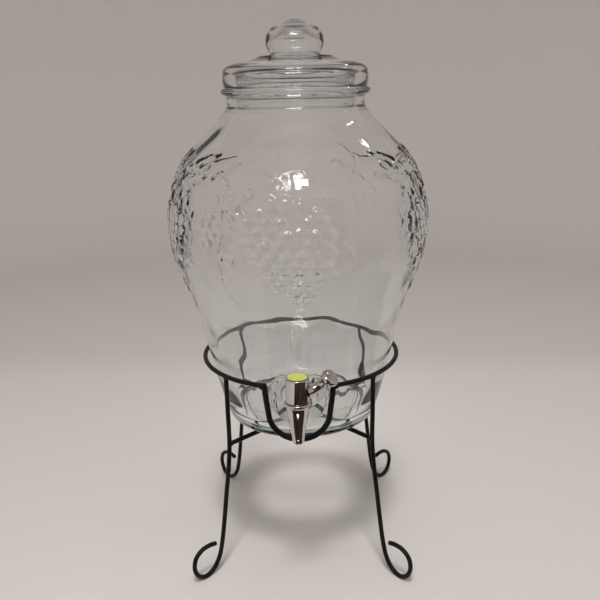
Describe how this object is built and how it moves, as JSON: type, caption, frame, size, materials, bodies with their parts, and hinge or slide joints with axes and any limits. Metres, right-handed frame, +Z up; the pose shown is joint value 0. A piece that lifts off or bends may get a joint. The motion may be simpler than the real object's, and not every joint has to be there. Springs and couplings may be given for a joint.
{
  "type": "beverage dispenser",
  "caption": "Glass drinks jar with a knobbed glass lid and a chrome lever tap near its base, standing in a black wire stand with scrolled feet.",
  "frame": {"origin": "on the floor, at the middle of the footprint's box", "axes": "+Z up, the tap faces -Y, +X to the right as seen from the front"},
  "size_m": [0.2768, 0.2966, 0.5853],
  "materials": {
    "clear_glass": "clear pressed glass, smooth, faint green at thick edges",
    "black_wire": "satin black paint on steel wire",
    "chrome_plate": "bright chrome plating on moulded plastic",
    "clear_seal": "translucent silicone",
    "white_plastic": "off-white moulded plastic",
    "screw_steel": "plain steel",
    "label_film": "plain yellow-green film"
  },
  "bodies": {
    "stand": {"ring_wire": "black_wire", "spigot_bow": "black_wire", "leg_front_left": "black_wire", "leg_front_right": "black_wire", "leg_back_left": "black_wire", "leg_back_right": "black_wire", "cross_bar_upper": "black_wire", "cross_bar_lower": "black_wire"},
    "jar": {"glass_jar": "clear_glass", "spigot_body": "chrome_plate", "outer_washer": "clear_seal", "inner_washer": "clear_seal", "spigot_nut": "white_plastic"},
    "lid": {"glass_lid": "clear_glass"},
    "valve": {"valve_plug": "white_plastic", "plug_seal_lower": "clear_seal", "plug_seal_upper": "clear_seal", "handle_cap": "chrome_plate", "cap_screw": "screw_steel", "cap_label": "label_film", "lever_arm": "chrome_plate"}
  },
  "joints": [
    {"name": "jar_lift", "type": "slide", "parent": "stand", "child": "jar", "axis": [0, 0, 1], "range_m": [0, 0.12]},
    {"name": "lid_lift", "type": "slide", "parent": "jar", "child": "lid", "axis": [0, 0, 1], "range_m": [0, 0.08]},
    {"name": "valve_turn", "type": "hinge", "parent": "jar", "child": "valve", "pos_m": [0, -0.1351, 0.24], "axis": [0, 0, -1], "range_deg": [0, 90]}
  ]
}
